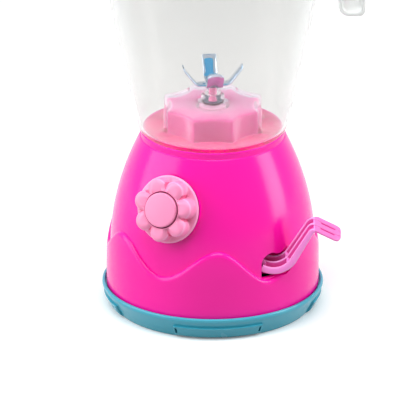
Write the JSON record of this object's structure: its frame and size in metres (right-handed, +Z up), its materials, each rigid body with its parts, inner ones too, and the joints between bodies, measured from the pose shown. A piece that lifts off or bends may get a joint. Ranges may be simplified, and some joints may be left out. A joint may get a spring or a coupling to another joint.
{
  "type": "toy blender",
  "caption": "Hand-pumped toy blender: pink domed body on a teal dish, flower dial, pump lever, and a clear lift-off jar with two crossed spinning blades.",
  "frame": {"origin": "middle of the flat underside of the base dish, on the floor", "axes": "+Z up along the axis of the body and jar, -Y towards the front with the dial, +X towards the side the lever points to"},
  "size_m": [0.1696, 0.1492, 0.2684],
  "materials": {
    "pink_plastic": "glossy moulded plastic",
    "lever_plastic": "glossy moulded plastic",
    "pale_pink_plastic": "satin moulded plastic",
    "teal_plastic": "glossy moulded plastic",
    "white_nylon": "plain moulded nylon",
    "clear_plastic": "clear moulded plastic with a slight haze",
    "milky_plastic": "milky translucent plastic",
    "screw_steel": "plated steel",
    "spring_steel": "spring wire",
    "chromed_blade": "chromed plastic strips",
    "black_rubber": "plain moulded rubber"
  },
  "bodies": {
    "base": {"base_dish": "teal_plastic", "body_shell": "pink_plastic", "case_screws": "screw_steel", "gear_plate": "white_nylon", "plate_screws": "screw_steel", "lever_pin": "screw_steel", "gear_axle": "screw_steel", "shaft_bush": "white_nylon", "return_spring": "spring_steel"},
    "lever": {"lever": "lever_plastic"},
    "rack": {"rack_bar": "white_nylon"},
    "idler": {"two_step_gear": "white_nylon"},
    "drive": {"drive_gear": "white_nylon", "drive_shaft": "screw_steel", "shaft_clip": "spring_steel", "drive_coupler": "pale_pink_plastic"},
    "dial": {"flower_dial": "pale_pink_plastic", "dial_cap": "pale_pink_plastic", "dial_screw": "screw_steel", "dial_washer": "white_nylon", "friction_ring": "black_rubber"},
    "jar": {"jar": "clear_plastic", "jar_handle": "milky_plastic", "spindle_collar": "milky_plastic"},
    "blades": {"blade_spindle": "screw_steel", "spindle_washer": "screw_steel", "driven_coupler": "pale_pink_plastic", "lower_blade": "chromed_blade", "upper_blade": "chromed_blade", "blade_nut": "chromed_blade"},
    "lid": {"lid": "teal_plastic", "lid_knob": "pink_plastic"}
  },
  "joints": [
    {"name": "lever_press", "type": "hinge", "parent": "base", "child": "lever", "pos_m": [0.022, -0.05, 0.051], "axis": [0, 1, 0], "range_deg": [0, 6.5], "stiffness_Nm_per_rad": 0.35, "springref_deg": -8.59},
    {"name": "rack_slide", "type": "slide", "parent": "base", "child": "rack", "axis": [-1, 0, 0], "range_m": [0, 0.00325], "deforming": ["return_spring"]},
    {"name": "idler_spin", "type": "hinge", "parent": "base", "child": "idler", "pos_m": [0, -0.0345, 0.01], "axis": [0, 0, 1], "range_deg": [-31, 0]},
    {"name": "drive_spin", "type": "hinge", "parent": "base", "child": "drive", "pos_m": [0, 0, 0.01], "axis": [0, 0, 1], "range_deg": [0, 87.6]},
    {"name": "dial_turn", "type": "hinge", "parent": "base", "child": "dial", "pos_m": [-0.02728, -0.05131, 0.0825], "axis": [-0.4496, -0.8456, 0.2879], "continuous": true},
    {"name": "jar_lift", "type": "slide", "parent": "base", "child": "jar", "axis": [0, 0, 1], "range_m": [0, 0.045]},
    {"name": "blade_spin", "type": "hinge", "parent": "jar", "child": "blades", "pos_m": [0, 0, 0.14], "axis": [0, 0, 1], "range_deg": [0, 87.6]},
    {"name": "lid_lift", "type": "slide", "parent": "jar", "child": "lid", "axis": [0, 0, 1], "range_m": [0, 0.04]}
  ],
  "couplings": [
    {"joint": "rack_slide", "follows": "lever_press", "m_per_rad": 0.0285},
    {"joint": "idler_spin", "follows": "lever_press", "ratio": -4.75},
    {"joint": "drive_spin", "follows": "lever_press", "ratio": 13.458},
    {"joint": "blade_spin", "follows": "lever_press", "ratio": 13.458}
  ]
}
